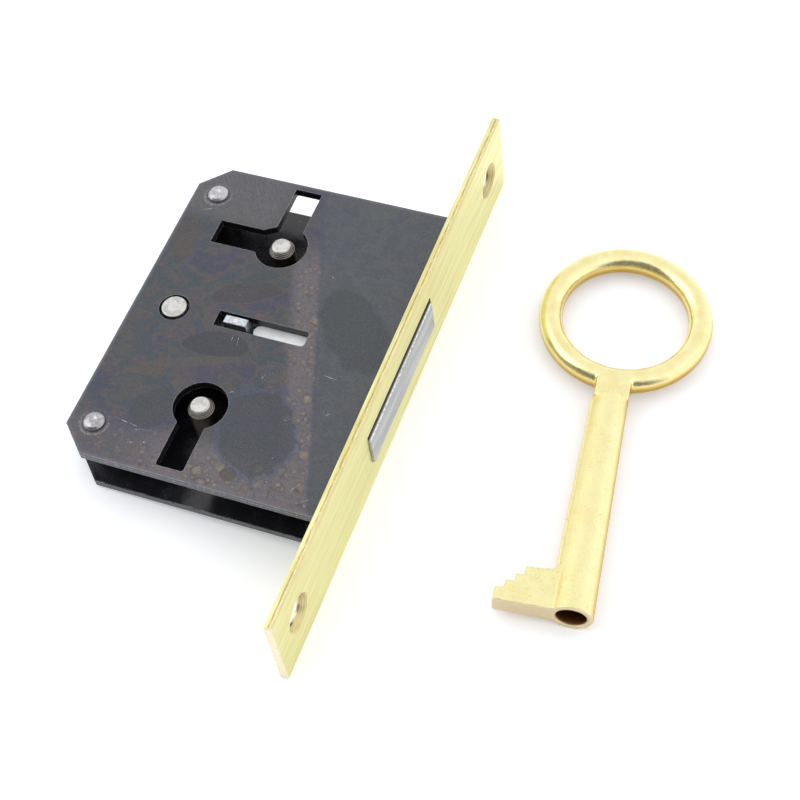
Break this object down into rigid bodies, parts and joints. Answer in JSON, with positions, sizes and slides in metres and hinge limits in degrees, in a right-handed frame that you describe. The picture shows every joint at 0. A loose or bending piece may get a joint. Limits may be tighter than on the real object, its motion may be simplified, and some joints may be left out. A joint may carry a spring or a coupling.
{
  "type": "mortise lock",
  "caption": "Small lever mortise lock: flat two-plate case, long narrow faceplate, sliding rectangular bolt, keyholes above and below, and a barrel key.",
  "frame": {"origin": "centre of the faceplate's front face, in the middle of the bolt slot", "axes": "+X out of the faceplate, the way the bolt is thrown; +Y along the faceplate; +Z out of the cover plate that has the keyholes"},
  "size_m": [0.0667, 0.075, 0.0141],
  "materials": {
    "brass_sheet": "brushed along its length",
    "black_steel": "gloss black",
    "oxidised_steel": "oil-blackened, mottled",
    "bright_steel": "bright",
    "dark_steel": "dark",
    "turned_steel": "turned",
    "zinc_casting": "die-cast, brushed face",
    "zinc_plated": "bright zinc",
    "spring_steel": "blued",
    "lever_steel": "bright",
    "key_brass": "plated, grainy barrel and polished ring"
  },
  "bodies": {
    "case": {"faceplate": "brass_sheet", "base_plate": "black_steel", "cover_plate": "oxidised_steel", "corner_rivets": "bright_steel", "corner_spacers": "dark_steel", "key_pin_upper": "turned_steel", "key_pin_lower": "turned_steel", "pivot_pin": "turned_steel", "pivot_collar": "dark_steel", "spring_anchor": "turned_steel"},
    "bolt": {"bolt": "zinc_casting", "bolt_post": "zinc_plated", "bolt_strip": "zinc_plated", "bolt_strip_rivets": "bright_steel", "brake_spring": "spring_steel"},
    "lever_1": {"lever_1": "lever_steel", "lever_spring_1": "spring_steel"},
    "lever_2": {"lever_2": "lever_steel", "lever_spring_2": "spring_steel"},
    "key": {"key": "key_brass"}
  },
  "joints": [
    {"name": "bolt_throw", "type": "slide", "parent": "case", "child": "bolt", "axis": [1, 0, 0], "range_m": [0, 0.0075]},
    {"name": "lever_1_swing", "type": "hinge", "parent": "case", "child": "lever_1", "pos_m": [-0.02915, 0, 0], "axis": [0, 0, 1], "range_deg": [0, 12], "deforming": ["lever_spring_1"]},
    {"name": "lever_2_swing", "type": "hinge", "parent": "case", "child": "lever_2", "pos_m": [-0.02915, 0, 0], "axis": [0, 0, 1], "range_deg": [0, 12], "deforming": ["lever_spring_2"]},
    {"name": "key_lift", "type": "slide", "parent": "case", "child": "key", "axis": [0, 0, 1], "range_m": [0, 0.06]}
  ],
  "couplings": [
    {"joint": "lever_1_swing", "follows": "bolt_throw", "rad_per_m": 27.92},
    {"joint": "lever_2_swing", "follows": "bolt_throw", "rad_per_m": 27.92}
  ]
}
